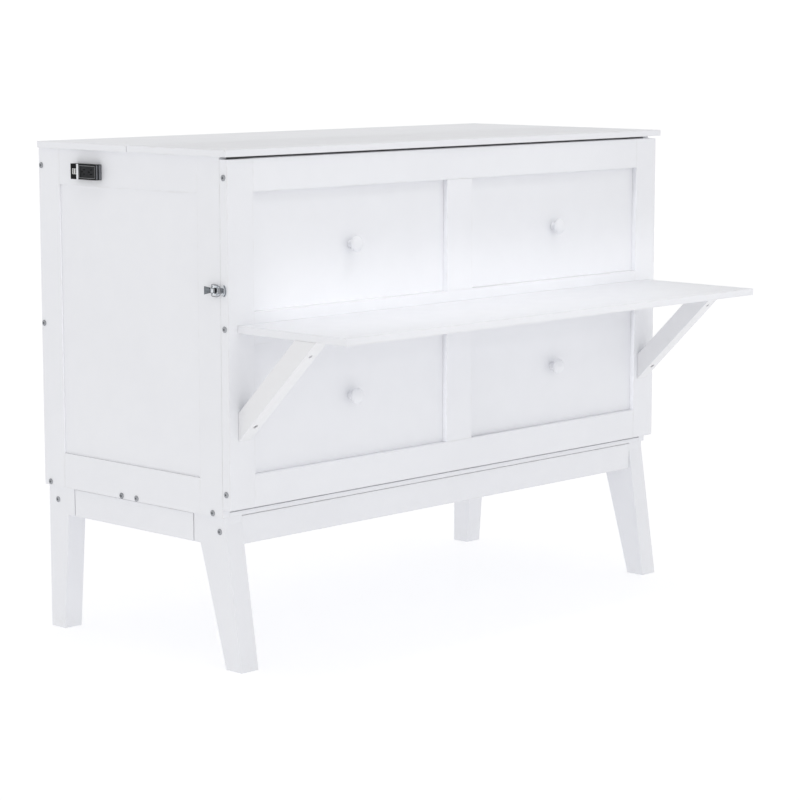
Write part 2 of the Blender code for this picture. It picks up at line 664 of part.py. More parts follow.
def make_outlet():
    """A box on the side's top rail, with a socket, a trim strip and a USB block let into it."""
    outer = -HALF_WIDTH - OUTLET_REACH
    y = (FRONT + OUTLET_BACK[0], FRONT + OUTLET_BACK[1])
    z = OUTLET_Z
    middle = sum(z) / 2
    socket_y = (y[0] + OUTLET_RIM, y[1] - USB_RIM - USB_SIZE[0] - 2 * GAP - TRIM_WIDTH)
    usb_y = (y[1] - USB_RIM - USB_SIZE[0], y[1] - USB_RIM)
    socket_z = (z[0] + OUTLET_RIM, z[1] - OUTLET_RIM)
    usb_z = (middle - USB_SIZE[1] / 2, middle + USB_SIZE[1] / 2)
    trim_y = (socket_y[1] + GAP, usb_y[0] - GAP)
    inlays = (
        ("outlet_socket", socket_y, socket_z, OUTLET_TRAY, 0.0012, "black_plastic"),
        ("outlet_trim_strip", trim_y, z, TRIM_DEPTH, 0.0, "latch_steel"),
        ("outlet_usb_block", usb_y, usb_z, OUTLET_TRAY, 0.0008, "white_plastic"),
    )
    shell = bpy.data.objects.new("shell", box_mesh((outer, -HALF_WIDTH - GAP), y, z))
    bpy.context.scene.collection.objects.link(shell)
    for name, y_span, z_span, depth, set_back, finish in inlays:
        spans = [(low - GAP, high + GAP) for low, high in (y_span, z_span)]
        cutter = bpy.data.objects.new("cutter", box_mesh((outer - depth, outer + depth), *spans))
        bpy.context.scene.collection.objects.link(cutter)
        modifier = shell.modifiers.new("inlay", "BOOLEAN")
        modifier.operation = "DIFFERENCE"
        modifier.solver = "EXACT"
        modifier.object = cutter
        board(name, (outer + set_back, outer + depth - GAP), y_span, z_span, finish=finish)
    bpy.context.view_layer.update()
    evaluated = shell.evaluated_get(bpy.context.evaluated_depsgraph_get())
    mesh = bpy.data.meshes.new_from_object(evaluated)
    for obj in [modifier.object for modifier in shell.modifiers] + [shell]:
        bpy.data.objects.remove(obj, do_unlink=True)
    centre = Vector((-HALF_WIDTH, sum(y) / 2, middle))
    mesh.transform(Matrix.Translation(-centre))
    add_piece("outlet_housing", mesh, "black_plastic", "cabinet", centre)


clear_scene()
EMPTIES = make_bodies()
for side_name, sign in (("left", -1), ("right", 1)):
    make_side(side_name, sign)
make_carcass()
make_leg_frame()
make_front_panel()
make_desk()
make_decks()
make_hoop()
make_hinges()
make_latches()
make_outlet()
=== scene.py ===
"""Looks of a white cabinet bed: painted boards, slats, fittings, studio and camera."""

import math

import bmesh
import bpy
from mathutils import Matrix, Vector


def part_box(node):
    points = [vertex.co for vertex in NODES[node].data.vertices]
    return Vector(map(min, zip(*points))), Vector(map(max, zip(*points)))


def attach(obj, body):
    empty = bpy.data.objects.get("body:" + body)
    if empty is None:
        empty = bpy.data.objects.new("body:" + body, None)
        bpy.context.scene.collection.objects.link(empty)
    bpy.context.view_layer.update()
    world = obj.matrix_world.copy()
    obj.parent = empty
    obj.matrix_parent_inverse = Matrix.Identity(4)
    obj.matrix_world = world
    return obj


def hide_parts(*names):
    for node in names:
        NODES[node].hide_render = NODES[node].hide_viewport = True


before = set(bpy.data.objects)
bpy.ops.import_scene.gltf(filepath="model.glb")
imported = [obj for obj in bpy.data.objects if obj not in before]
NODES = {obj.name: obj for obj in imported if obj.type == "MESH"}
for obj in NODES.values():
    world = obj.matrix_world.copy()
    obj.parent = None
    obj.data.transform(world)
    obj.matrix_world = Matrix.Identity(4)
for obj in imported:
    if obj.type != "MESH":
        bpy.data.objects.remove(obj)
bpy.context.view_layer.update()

# ---- Places taken from the frame -------------------------------------------------------------

SIDES = (("left", -1), ("right", 1))


def span(node, axis):
    low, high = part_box(node)
    return low[axis], high[axis]


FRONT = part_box("side_left_front_stile")[0].y        # cabinet's front plane
SIDE_X = -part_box("side_left_front_stile")[0].x      # outer face of the sides
LEG_X = -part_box("leg_front_left")[0].x
PANEL_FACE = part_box("panel_stile_left")[0].y
PANEL_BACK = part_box("panel_stile_left")[1].y
SEAM_Y = (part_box("top_front_flap")[1].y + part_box("top_rear_board")[0].y) / 2
LATCH_Z = sum(span("latch_base_left", 2)) / 2

# ---- Node helpers ----------------------------------------------------------------------------


def new_graph(name):
    material = bpy.data.materials.new(name)
    material.use_nodes = True
    tree = material.node_tree
    return material, tree, tree.nodes["Principled BSDF"]


def put(tree, kind, inputs=None, **settings):
    """A shader node. Its inputs are given by name or number, as values or as sockets."""
    node = tree.nodes.new("ShaderNode" + kind)
    for key, value in settings.items():
        setattr(node, key, value)
    for key, value in (inputs or {}).items():
        if isinstance(value, bpy.types.NodeSocket):
            tree.links.new(value, node.inputs[key])
        else:
            node.inputs[key].default_value = value
    return node


def math_of(tree, operation, first, second=0.0, third=0.0):
    values = {0: first, 1: second, 2: third}
    return put(tree, "Math", values, operation=operation).outputs[0]


def vector_of(tree, operation, first, second=(0.0, 0.0, 0.0)):
    node = put(tree, "VectorMath", {0: first, 1: second}, operation=operation)
    return node.outputs[0]


def noise_of(tree, place, scale, detail=2.0, roughness=0.5):
    values = {"Vector": place, "Scale": scale, "Detail": detail, "Roughness": roughness}
    return put(tree, "TexNoise", values).outputs[0]


def ramp_of(tree, value, low, high, new_low=0.0, new_high=1.0):
    values = {0: value, 1: low, 2: high, 3: new_low, 4: new_high}
    return put(tree, "MapRange", values, clamp=True).outputs[0]


def blend_of(tree, factor, first, second):
    values = {0: factor, 6: first, 7: second}
    return put(tree, "Mix", values, data_type="RGBA").outputs[2]


def bump_of(tree, height, strength, distance):
    values = {"Height": height, "Strength": strength, "Distance": distance}
    return put(tree, "Bump", values).outputs[0]


def object_place(tree, seed=0.0):
    place = put(tree, "TexCoord").outputs["Object"]
    if not seed:
        return place
    return vector_of(tree, "ADD", place, (seed, 0.37 * seed, 0.71 * seed))


def edge_distance(tree, low, high):
    """Distance from a box's surface to the nearest of its edges."""
    centre = (low + high) / 2
    half = (high - low) / 2
    place = put(tree, "TexCoord").outputs["Object"]
    away = vector_of(tree, "ABSOLUTE", vector_of(tree, "SUBTRACT", place, tuple(centre)))
    depth = vector_of(tree, "SUBTRACT", tuple(half), away)
    parts = put(tree, "SeparateXYZ", {0: depth}).outputs
    least = math_of(tree, "MINIMUM", math_of(tree, "MINIMUM", parts[0], parts[1]), parts[2])
    most = math_of(tree, "MAXIMUM", math_of(tree, "MAXIMUM", parts[0], parts[1]), parts[2])
    total = math_of(tree, "ADD", math_of(tree, "ADD", parts[0], parts[1]), parts[2])
    return math_of(tree, "SUBTRACT", math_of(tree, "SUBTRACT", total, least), most)


# ---- Materials -------------------------------------------------------------------------------

WHITE_LIGHT = (0.840, 0.847, 0.874, 1.0)
WHITE_DEEP = (0.822, 0.829, 0.857, 1.0)
# Darker paint for rubbed edges and scuffs, also used as painted shade where boards meet.
WHITE_WEAR_AND_SHADE = (0.72, 0.71, 0.70, 1.0)
# Darker, warmer copies of the white paint for the desk braces: painted shade under the shelf.
WHITE_PAINTED_SHADE = (0.826, 0.828, 0.842, 1.0)
WHITE_PAINTED_SHADE_DEEP = (0.808, 0.810, 0.824, 1.0)


def paint(name, seed, low=None, high=None, roughness=0.46, scuffed=False,
          light=WHITE_LIGHT, deep=WHITE_DEEP):
    """Sprayed satin lacquer on a board, with a trace of grain and softened edges, darkened along
    every edge as rubbed wear and as painted shade where boards meet.
    """
    material, tree, shader = new_graph(name)
    place = object_place(tree, seed)
    drift = noise_of(tree, place, 2.1, 3.0)
    clouds = noise_of(tree, place, 19.0, 2.0)
    peel = noise_of(tree, place, 520.0, 2.0)
    tone = math_of(tree, "MULTIPLY_ADD", clouds, 0.35, math_of(tree, "MULTIPLY", drift, 0.65))
    colour = blend_of(tree, ramp_of(tree, tone, 0.36, 0.62), light, deep)
    height = math_of(tree, "MULTIPLY", peel, 0.5)
    gloss = math_of(tree, "MULTIPLY_ADD", clouds, 0.14, roughness - 0.07)
    if low is not None:
        size = high - low
        stretch = [115.0, 115.0, 115.0]
        stretch[max(range(3), key=lambda axis: size[axis])] = 5.0
        grain = noise_of(tree, vector_of(tree, "MULTIPLY", place, tuple(stretch)), 1.0, 3.0, 0.6)
        height = math_of(tree, "MULTIPLY_ADD", grain, 0.5, height)
        # Darkened near every edge: rubbed wear, and painted shade in the joints between boards.
        rub_and_shade = ramp_of(tree, edge_distance(tree, low, high), 0.0004, 0.0034, 1.0, 0.0)
        patchy = ramp_of(tree, noise_of(tree, place, 31.0, 3.0), 0.42, 0.70)
        worn_and_shaded = math_of(tree, "MULTIPLY", rub_and_shade, patchy)
        colour = blend_of(tree, math_of(tree, "MULTIPLY", worn_and_shaded, 0.42), colour, WHITE_WEAR_AND_SHADE)
        gloss = math_of(tree, "MULTIPLY_ADD", worn_and_shaded, 0.16, gloss)
    if scuffed:
        place_z = put(tree, "SeparateXYZ", {0: put(tree, "TexCoord").outputs["Object"]}).outputs[2]
        near_floor = ramp_of(tree, place_z, 0.0, 0.045, 1.0, 0.0)
        marks = ramp_of(tree, noise_of(tree, place, 60.0, 4.0, 0.65), 0.50, 0.66)
        scuff = math_of(tree, "MULTIPLY", near_floor, marks)
        colour = blend_of(tree, math_of(tree, "MULTIPLY", scuff, 0.30), colour, WHITE_WEAR_AND_SHADE)
        gloss = math_of(tree, "MULTIPLY_ADD", scuff, 0.12, gloss)
    tree.links.new(colour, shader.inputs["Base Color"])
    tree.links.new(gloss, shader.inputs["Roughness"])
    tree.links.new(bump_of(tree, height, 0.30, 0.00012), shader.inputs["Normal"])
    shader.inputs["Specular IOR Level"].default_value = 0.30
    return material


PINE_PALE = (0.780, 0.640, 0.440, 1.0)
PINE_MID = (0.680, 0.510, 0.310, 1.0)
PINE_DARK = (0.500, 0.330, 0.180, 1.0)


def pine(name, axis, start, pitch, seed):
    """Planed pine slats along X. Each slat, a pitch apart along axis, has its own tone."""
    material, tree, shader = new_graph(name)
    place = object_place(tree)
    along = put(tree, "SeparateXYZ", {0: place}).outputs[axis]
    number = math_of(tree, "FLOOR", math_of(tree, "DIVIDE", math_of(
        tree, "SUBTRACT", along, start - pitch / 2), pitch))
    number = math_of(tree, "ADD", number, seed)
    chance = put(tree, "TexWhiteNoise", {"W": number}, noise_dimensions="1D").outputs[0]
    shift = put(tree, "CombineXYZ", {0: math_of(tree, "MULTIPLY", chance, 9.0),
                                     1: math_of(tree, "MULTIPLY", chance, 3.0), 2: seed}).outputs[0]
    moved = vector_of(tree, "ADD", place, shift)
    rings = noise_of(tree, vector_of(tree, "MULTIPLY", moved, (1.6, 34.0, 34.0)), 1.0, 3.0, 0.45)
    bands = put(tree, "TexWave", {"Vector": vector_of(tree, "MULTIPLY", moved, (0.45, 17.0, 17.0)),
                                  "Scale": 1.0, "Distortion": 5.5, "Detail": 2.0,
                                  "Detail Scale": 0.8}, bands_direction="DIAGONAL").outputs[1]
    fibres = noise_of(tree, vector_of(tree, "MULTIPLY", moved, (9.0, 700.0, 700.0)), 1.0, 2.0)
    pores = noise_of(tree, vector_of(tree, "MULTIPLY", moved, (14.0, 260.0, 260.0)), 1.0, 3.0, 0.7)
    knots = put(tree, "TexVoronoi", {"Vector": vector_of(
        tree, "MULTIPLY", moved, (2.6, 9.0, 9.0)), "Scale": 1.0}).outputs["Distance"]
    knot = ramp_of(tree, knots, 0.045, 0.12, 1.0, 0.0)
    mix = math_of(tree, "MULTIPLY_ADD", bands, 0.45, math_of(tree, "MULTIPLY", rings, 0.55))
    colour = blend_of(tree, ramp_of(tree, mix, 0.30, 0.74), PINE_PALE, PINE_MID)
    colour = blend_of(tree, math_of(tree, "MULTIPLY", fibres, 0.16), colour, PINE_DARK)
    colour = blend_of(tree, math_of(tree, "MULTIPLY", knot, 0.75), colour, PINE_DARK)
    light = ramp_of(tree, chance, 0.0, 1.0, 0.0, 0.22)
    colour = blend_of(tree, light, colour, PINE_MID)
    gloss = math_of(tree, "MULTIPLY_ADD", pores, 0.22, 0.46)
    height = math_of(tree, "MULTIPLY_ADD", fibres, 0.6, math_of(tree, "MULTIPLY", bands, 0.4))
    tree.links.new(colour, shader.inputs["Base Color"])
    tree.links.new(gloss, shader.inputs["Roughness"])
    tree.links.new(bump_of(tree, height, 0.35, 0.0002), shader.inputs["Normal"])
    shader.inputs["Specular IOR Level"].default_value = 0.35
    return material


def metal(name, light, dark, roughness, stretch=(60.0, 60.0, 60.0), mottle=24.0):
    """Plated steel: drifting tone, fine rubbing marks along one direction, uneven gloss."""
    material, tree, shader = new_graph(name)
    place = object_place(tree)
    cloud = noise_of(tree, place, mottle, 4.0, 0.6)
    lines = noise_of(tree, vector_of(tree, "MULTIPLY", place, stretch), 1.0, 3.0, 0.6)
    colour = blend_of(tree, ramp_of(tree, cloud, 0.32, 0.68), (*light, 1.0), (*dark, 1.0))
    gloss = math_of(tree, "MULTIPLY_ADD", cloud, 0.16, math_of(
        tree, "MULTIPLY_ADD", lines, 0.14, roughness - 0.12))
    tree.links.new(colour, shader.inputs["Base Color"])
    tree.links.new(gloss, shader.inputs["Roughness"])
    tree.links.new(bump_of(tree, lines, 0.22, 0.00006), shader.inputs["Normal"])
    shader.inputs["Metallic"].default_value = 1.0
    return material


PLASTIC_GRAIN = 900.0        # spots of the moulded texture per metre


def plastic(name, light, dark, roughness, specular=0.45):
    """Moulded plastic with spark-eroded grain and a slightly uneven sheen."""
    material, tree, shader = new_graph(name)
    place = object_place(tree)
    cloud = noise_of(tree, place, 40.0, 3.0)
    texture = noise_of(tree, place, PLASTIC_GRAIN, 2.0)
    colour = blend_of(tree, ramp_of(tree, cloud, 0.3, 0.7), (*light, 1.0), (*dark, 1.0))
    gloss = math_of(tree, "MULTIPLY_ADD", cloud, 0.16, roughness - 0.08)
    tree.links.new(colour, shader.inputs["Base Color"])
    tree.links.new(gloss, shader.inputs["Roughness"])
    tree.links.new(bump_of(tree, texture, 0.30, 0.00006), shader.inputs["Normal"])
    shader.inputs["Specular IOR Level"].default_value = specular
    return material


ZINC = metal("zinc_plate", (0.44, 0.45, 0.47), (0.30, 0.31, 0.33), 0.38)
NICKEL = metal("nickel_plate", (0.84, 0.87, 0.91), (0.68, 0.71, 0.75), 0.30,
               stretch=(60.0, 60.0, 900.0))
# Dark steel of the lever; on the strike's raised rim it is painted shade for the lip's shaded face.
DARK_STEEL_AND_RIM_SHADE = metal("dark_steel_and_painted_shade", (0.23, 0.25, 0.27), (0.13, 0.14, 0.155), 0.34,
                   stretch=(60.0, 60.0, 900.0), mottle=160.0)
# Nearly black steel: painted shade in the slot around the lever's barrel; the lever's rivets share
# it.
PIVOT_SHADE_STEEL = metal("pivot_steel_painted_shade", (0.05, 0.055, 0.06), (0.02, 0.02, 0.023), 0.38)
WIRE_STEEL = metal("drawn_wire_steel", (0.36, 0.37, 0.39), (0.24, 0.25, 0.27), 0.30)
HINGE_STEEL = metal("brushed_hinge_steel", (0.62, 0.62, 0.63), (0.50, 0.50, 0.51), 0.38,
                    stretch=(12.0, 900.0, 900.0), mottle=10.0)
SATIN_TRIM = metal("satin_trim_metal", (0.78, 0.79, 0.81), (0.66, 0.67, 0.69), 0.34,
                   stretch=(600.0, 600.0, 14.0))
BLACK = plastic("black_moulded_plastic", (0.004, 0.004, 0.005), (0.007, 0.007, 0.008), 0.55, 0.10)
# Charcoal plastic of the socket; on the brace's foot screw it is painted shade in the screw's bore.
CHARCOAL_AND_SHADE = plastic("charcoal_plastic_and_painted_shade", (0.018, 0.019, 0.021), (0.030, 0.031, 0.033),
                   0.58, 0.12)
# Mid grey: painted sheen on the outlet housing's black end.
SHEEN_GREY = plastic("grey_plastic_painted_sheen", (0.180, 0.186, 0.200), (0.140, 0.146, 0.160), 0.50, 0.20)
IVORY = plastic("white_moulded_plastic", (0.78, 0.78, 0.77), (0.70, 0.70, 0.69), 0.36)
GREY_LINE = plastic("grey_moulded_plastic", (0.24, 0.245, 0.25), (0.19, 0.195, 0.20), 0.46)


def powder_coat(name, light, dark):
    material, tree, shader = new_graph(name)
    place = object_place(tree)
    cloud = noise_of(tree, place, 9.0, 3.0)
    speck = noise_of(tree, place, 850.0, 1.0)
    colour = blend_of(tree, cloud, (*light, 1.0), (*dark, 1.0))
    gloss = math_of(tree, "MULTIPLY_ADD", speck, 0.2, 0.34)
    tree.links.new(colour, shader.inputs["Base Color"])
    tree.links.new(gloss, shader.inputs["Roughness"])
    tree.links.new(bump_of(tree, speck, 0.5, 0.00010), shader.inputs["Normal"])
    shader.inputs["Coat Weight"].default_value = 0.25
    shader.inputs["Coat Roughness"].default_value = 0.2
    return material


HOOP_COAT = powder_coat("white_powder_coat", (0.74, 0.75, 0.77), (0.68, 0.69, 0.71))


def dress(obj, material):
    obj.data.materials.clear()
    obj.data.materials.append(material)


# ---- Mesh helpers ----------------------------------------------------------------------------

ROUND_ANGLE = math.radians(38)       # edges flatter than this are shaded round
BEVEL_ANGLE = math.radians(30)       # edges sharper than this are softened
PARALLEL = 1e-6
SCREW_STEPS = 24
WIRE_STEPS = 12


def new_piece(name, mesh, material, body, smooth=True):
    mesh.materials.clear()
    mesh.materials.append(material)
    if smooth:
        mesh.shade_smooth()
        mesh.set_sharp_from_angle(angle=ROUND_ANGLE)
    piece = bpy.data.objects.new(name, mesh)
    bpy.context.scene.collection.objects.link(piece)
    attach(piece, body)
    return piece


def to_mesh(bm, name):
    bmesh.ops.recalc_face_normals(bm, faces=bm.faces)
    mesh = bpy.data.meshes.new(name)
    bm.to_mesh(mesh)
    bm.free()
    return mesh


def frame_towards(direction):
    """A rotation that turns local Z to direction."""
    z = Vector(direction).normalized()
    x = Vector((0.0, 0.0, 1.0)).cross(z)
    if x.length < PARALLEL:
        x = Vector((1.0, 0.0, 0.0)).cross(z)
    x.normalize()
    return Matrix((x, z.cross(x), z)).transposed().to_4x4()


def add_rings(bm, rings):
    """A closed solid through rings of points, capped at both ends."""
    loops = [[bm.verts.new(point) for point in ring] for ring in rings]
    for near, far in zip(loops, loops[1:]):
        count = len(near)
        for i in range(count):
            j = (i + 1) % count
            bm.faces.new((near[i], near[j], far[j], far[i]))
    bm.faces.new(loops[0])
    bm.faces.new(loops[-1])


def ring_of(radius, height, steps, place, sides=0):
    """A circle about place's Z, or a polygon of so many sides with the same number of points."""
    points = []
    for i in range(steps):
        angle = 2 * math.pi * i / steps
        reach = radius
        if sides:
            sector = 2 * math.pi / sides
            reach = radius * math.cos(sector / 2) / math.cos(angle % sector - sector / 2)
        points.append(place @ Vector((reach * math.cos(angle), reach * math.sin(angle), height)))
    return points


HEAD_DOME = ((0.97, 0.0), (1.0, 0.22), (0.94, 0.62), (0.78, 0.88), (0.60, 1.0))


def add_screw(bm, centre, direction, radius, rise, socket):
    """A domed head with a hexagonal socket, standing rise proud of its seat."""
    place = Matrix.Translation(Vector(centre)) @ frame_towards(direction)
    steps = SCREW_STEPS
    rings = [ring_of(radius * 0.80, -rise * 0.5, steps, place)]
    for share, height in HEAD_DOME:
        rings.append(ring_of(radius * share, rise * height, steps, place))
    rings.append(ring_of(socket * 1.06, rise, steps, place, sides=6))
    rings.append(ring_of(socket, rise * 0.90, steps, place, sides=6))
    rings.append(ring_of(socket * 0.94, rise * 0.10, steps, place, sides=6))
    add_rings(bm, rings)


def screws(name, places, direction, radius, rise, socket, body, slot="latch_steel"):
    """Equal zinc screws as one piece."""
    bm = bmesh.new()
    for centre in places:
        add_screw(bm, centre, direction, radius, rise, socket)
    return new_piece(name, to_mesh(bm, name), ZINC, body)


def turned(profile, centre, direction, steps=64):
    """A closed round solid from (radius, height) points along direction."""
    bm = bmesh.new()
    place = Matrix.Translation(Vector(centre)) @ frame_towards(direction)
    add_rings(bm, [ring_of(radius, height, steps, place) for radius, height in profile])
    return to_mesh(bm, "turned")


def smooth_path(points, steps, closed=False):
    """Catmull-Rom points through the given ones."""
    count = len(points)
    spans = count if closed else count - 1
    path = []

    def at(i):
        return Vector(points[i % count] if closed else points[min(max(i, 0), count - 1)])

    for i in range(spans):
        a, b, c, d = at(i - 1), at(i), at(i + 1), at(i + 2)
        for step in range(steps):
            t = step / steps
            path.append(0.5 * (2 * b + (c - a) * t + (2 * a - 5 * b + 4 * c - d) * t ** 2
                               + (3 * b - a - 3 * c + d) * t ** 3))
    if not closed:
        path.append(at(count - 1))
    return path


def tube_mesh(path, radius, closed=False):
    """A round wire along a path that bends mostly in one plane."""
    bm = bmesh.new()
    steps = WIRE_STEPS
    count = len(path)
    rings = []
    side = None
    for i, point in enumerate(path):
        if closed:
            tangent = path[(i + 1) % count] - path[i - 1]
        else:
            tangent = path[min(i + 1, count - 1)] - path[max(i - 1, 0)]
        tangent.normalize()
        if side is None:
            side = tangent.orthogonal().normalized()
        side = (side - side.dot(tangent) * tangent).normalized()
        other = tangent.cross(side)
        ring = []
        for k in range(steps):
            angle = 2 * math.pi * k / steps
            reach = math.cos(angle) * side + math.sin(angle) * other
            ring.append(bm.verts.new(point + radius * reach))
        rings.append(ring)
    for near, far in zip(rings, rings[1:]):
        for k in range(steps):
            m = (k + 1) % steps
            bm.faces.new((near[k], near[m], far[m], far[k]))
    if closed:
        near, far = rings[-1], rings[0]
        turn = min(range(steps), key=lambda s: (far[s].co - near[0].co).length)
        for k in range(steps):
            m = (k + 1) % steps
            bm.faces.new((near[k], near[m], far[(m + turn) % steps], far[(k + turn) % steps]))
    else:
        bm.faces.new(rings[0])
        bm.faces.new(rings[-1])
    return to_mesh(bm, "tube")


def box_mesh(x, y, z):
    bm = bmesh.new()
    bmesh.ops.create_cube(bm, size=1.0)
    for vert in bm.verts:
        for axis, (low, high) in enumerate((x, y, z)):
            vert.co[axis] = (low + high) / 2 + vert.co[axis] * (high - low)
    return to_mesh(bm, "box")


def prism_mesh(outline, along, low, high):
    """An outline in the two other axes, in X, Y, Z order, extruded along an axis."""
    bm = bmesh.new()
    others = [axis for axis in range(3) if axis != along]
    rings = []
    for level in (low, high):
        ring = []
        for first, second in outline:
            point = [0.0, 0.0, 0.0]
            point[others[0]], point[others[1]], point[along] = first, second, level
            ring.append(point)
        rings.append(ring)
    add_rings(bm, rings)
    return to_mesh(bm, "prism")


def joined(meshes):
    bm = bmesh.new()
    for mesh in meshes:
        bm.from_mesh(mesh)
    mesh = bpy.data.meshes.new("joined")
    bm.to_mesh(mesh)
    bm.free()
    return mesh


def carved(mesh, cutters, bevel=0.0):
    """The mesh with cutters taken out of it and its new edges softened."""
    whole = bpy.data.objects.new("whole", mesh)
    bpy.context.scene.collection.objects.link(whole)
    tools = []
    for cutter in cutters:
        tool = bpy.data.objects.new("cutter", cutter)
        bpy.context.scene.collection.objects.link(tool)
        tools.append(tool)
        modifier = whole.modifiers.new("cut", "BOOLEAN")
        modifier.operation = "DIFFERENCE"
        modifier.solver = "EXACT"
        modifier.object = tool
    if bevel:
        soften(whole, bevel)
    bpy.context.view_layer.update()
    evaluated = whole.evaluated_get(bpy.context.evaluated_depsgraph_get())
    result = bpy.data.meshes.new_from_object(evaluated)
    for tool in tools + [whole]:
        bpy.data.objects.remove(tool, do_unlink=True)
    return result


def soften(obj, width, segments=2):
    """Rounds the sharp edges a little, as a sanded and lacquered board's are."""
    modifier = obj.modifiers.new("soft_edges", "BEVEL")
    modifier.width = width
    modifier.segments = segments
    modifier.limit_method = "ANGLE"
    modifier.angle_limit = BEVEL_ANGLE
    modifier.harden_normals = False
    modifier.use_clamp_overlap = True


# ---- Painted boards, slats and carried-over fittings ------------------------------------------

BOARD_SOFTNESS = 0.0009
PANEL_SOFTNESS = 0.0014
DESK_GLOSS = 0.40
BOARD_GLOSS = 0.46
# These are dressed or remade in the sections below.
OWN_SECTION = ("latch_", "outlet_", "knob_", "top_rear_board", "top_front_flap")


def dress_frame():
    """Painted boards, softened at their edges, and the steel of the hinges and the hoop."""
    for index, name in enumerate(sorted(NODES)):
        node = NODES[name]
        if name.endswith("_slat_deck") or name.startswith(OWN_SECTION):
            continue
        if name == "foot_hoop":
            dress(node, HOOP_COAT)
            node.data.shade_smooth()
            continue
        if "hinge" in name:
            dress(node, HINGE_STEEL)
            soften(node, 0.0002, 1)
            continue
        seed = 1.0 + 3.7 * index
        if name.startswith(("leg_", "desk_brace")):
            dress(node, paint(f"paint_{name}", seed, scuffed=name.startswith("leg_")))
        else:
            low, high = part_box(name)
            gloss = DESK_GLOSS if name == "desk_shelf" else BOARD_GLOSS
            dress(node, paint(f"paint_{name}", seed, low, high, gloss))
        if name.startswith("panel_"):
            soften(node, PANEL_SOFTNESS, 3)
        else:
            soften(node, BOARD_SOFTNESS)


dress_frame()


SLAT_WIDTH = 0.060
FOOT_MARGIN = 0.022 + 0.030      # the foot frame's end board and the gap to its nearest slat
DECK_SCREW = (0.0036, 0.00035, 0.0016)      # radius, rise, socket
DECK_SCREW_OFFSET = 0.017
DECKS = (
    # node, body, axis along the deck, face, side boards' X, margins at the low and high end,
    # number of slats, seed of the wood
    ("head_slat_deck", "cabinet", 1, (0, 0, 1), 0.680, 0.0, 0.0, 6, 0.0),
    ("middle_slat_deck", "front_panel", 2, (0, 1, 0), 0.680, 0.0, 0.070, 6, 20.0),
    ("foot_slat_deck", "foot_section", 2, (0, -1, 0), 0.689, FOOT_MARGIN, FOOT_MARGIN, 4, 40.0),
)


def dress_decks():
    """Pine slats and their screws: two at each crossing with a board below."""
    for name, body, axis, face, side_x, low_margin, high_margin, count, seed in DECKS:
        low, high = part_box(name)
        first = low[axis] + low_margin + SLAT_WIDTH / 2
        last = high[axis] - high_margin - SLAT_WIDTH / 2
        pitch = (last - first) / (count - 1)
        dress(NODES[name], pine(f"pine_{name}", axis, first, pitch, seed))
        soften(NODES[name], 0.0008, 1)
        out_axis = max(range(3), key=lambda i: abs(face[i]))
        level = high[out_axis] if face[out_axis] > 0 else low[out_axis]
        has_middle_board = name != "foot_slat_deck"
        crossings = (-side_x, 0.0, side_x) if has_middle_board else (-side_x, side_x)
        places = []
        for x in crossings:
            for i in range(count):
                for offset in (-DECK_SCREW_OFFSET, DECK_SCREW_OFFSET):
                    place = Vector((x, 0.0, 0.0))
                    place[out_axis] = level
                    place[axis] = first + i * pitch + offset
                    places.append(place)
        screws(name.replace("_slat_deck", "_slat_screws"), places, face, *DECK_SCREW, body,
               slot="hinge_steel")


dress_decks()

# ---- Knobs -----------------------------------------------------------------------------------

KNOB_PROFILE = (
    # radius and height from the knob's seat, as shares of the head's radius and of its height
    (0.50, 0.00), (0.515, 0.012), (0.515, 0.045), (0.485, 0.075), (0.415, 0.110), (0.385, 0.170),
    (0.378, 0.260), (0.390, 0.340), (0.430, 0.410), (0.520, 0.475), (0.680, 0.535), (0.850, 0.580),
    (0.950, 0.615), (0.988, 0.650), (1.000, 0.690), (0.992, 0.730), (0.960, 0.775), (0.900, 0.825),
    (0.800, 0.875), (0.660, 0.920), (0.500, 0.955), (0.330, 0.980), (0.160, 0.995), (0.040, 1.000),
)


def make_knobs():
    for index, name in enumerate(sorted(n for n in NODES if n.startswith("knob_"))):
        low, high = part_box(name)
        radius = (high.x - low.x) / 2
        depth = high.y - low.y
        centre = ((low.x + high.x) / 2, high.y, (low.z + high.z) / 2)
        profile = [(radius * share, depth * height) for share, height in KNOB_PROFILE]
        mesh = turned(profile, centre, (0, -1, 0), 72)
        material = paint(f"paint_{name}", 300.0 + 5.1 * index, roughness=0.34)
        piece = new_piece(f"turned_{name}", mesh, material, "front_panel")
        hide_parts(name)


make_knobs()

# ---- Desk braces with counterbored screws -----------------------------------------------------

BRACE_TOP_START = 0.178      # from the front's face to the near end of the brace's top edge
BRACE_FOOT_HEIGHT = 0.063
BRACE_BORES = (
    # end, share of the way up the lower face, bore's radius and depth, screw's look: charcoal at
    # the foot as painted shade in its bore, bright nickel at the top as the lit copy of the same
    # screw
    ("foot", 0.144, 0.0056, 0.006, CHARCOAL_AND_SHADE),
    ("top", 0.856, 0.0046, 0.008, NICKEL),
)


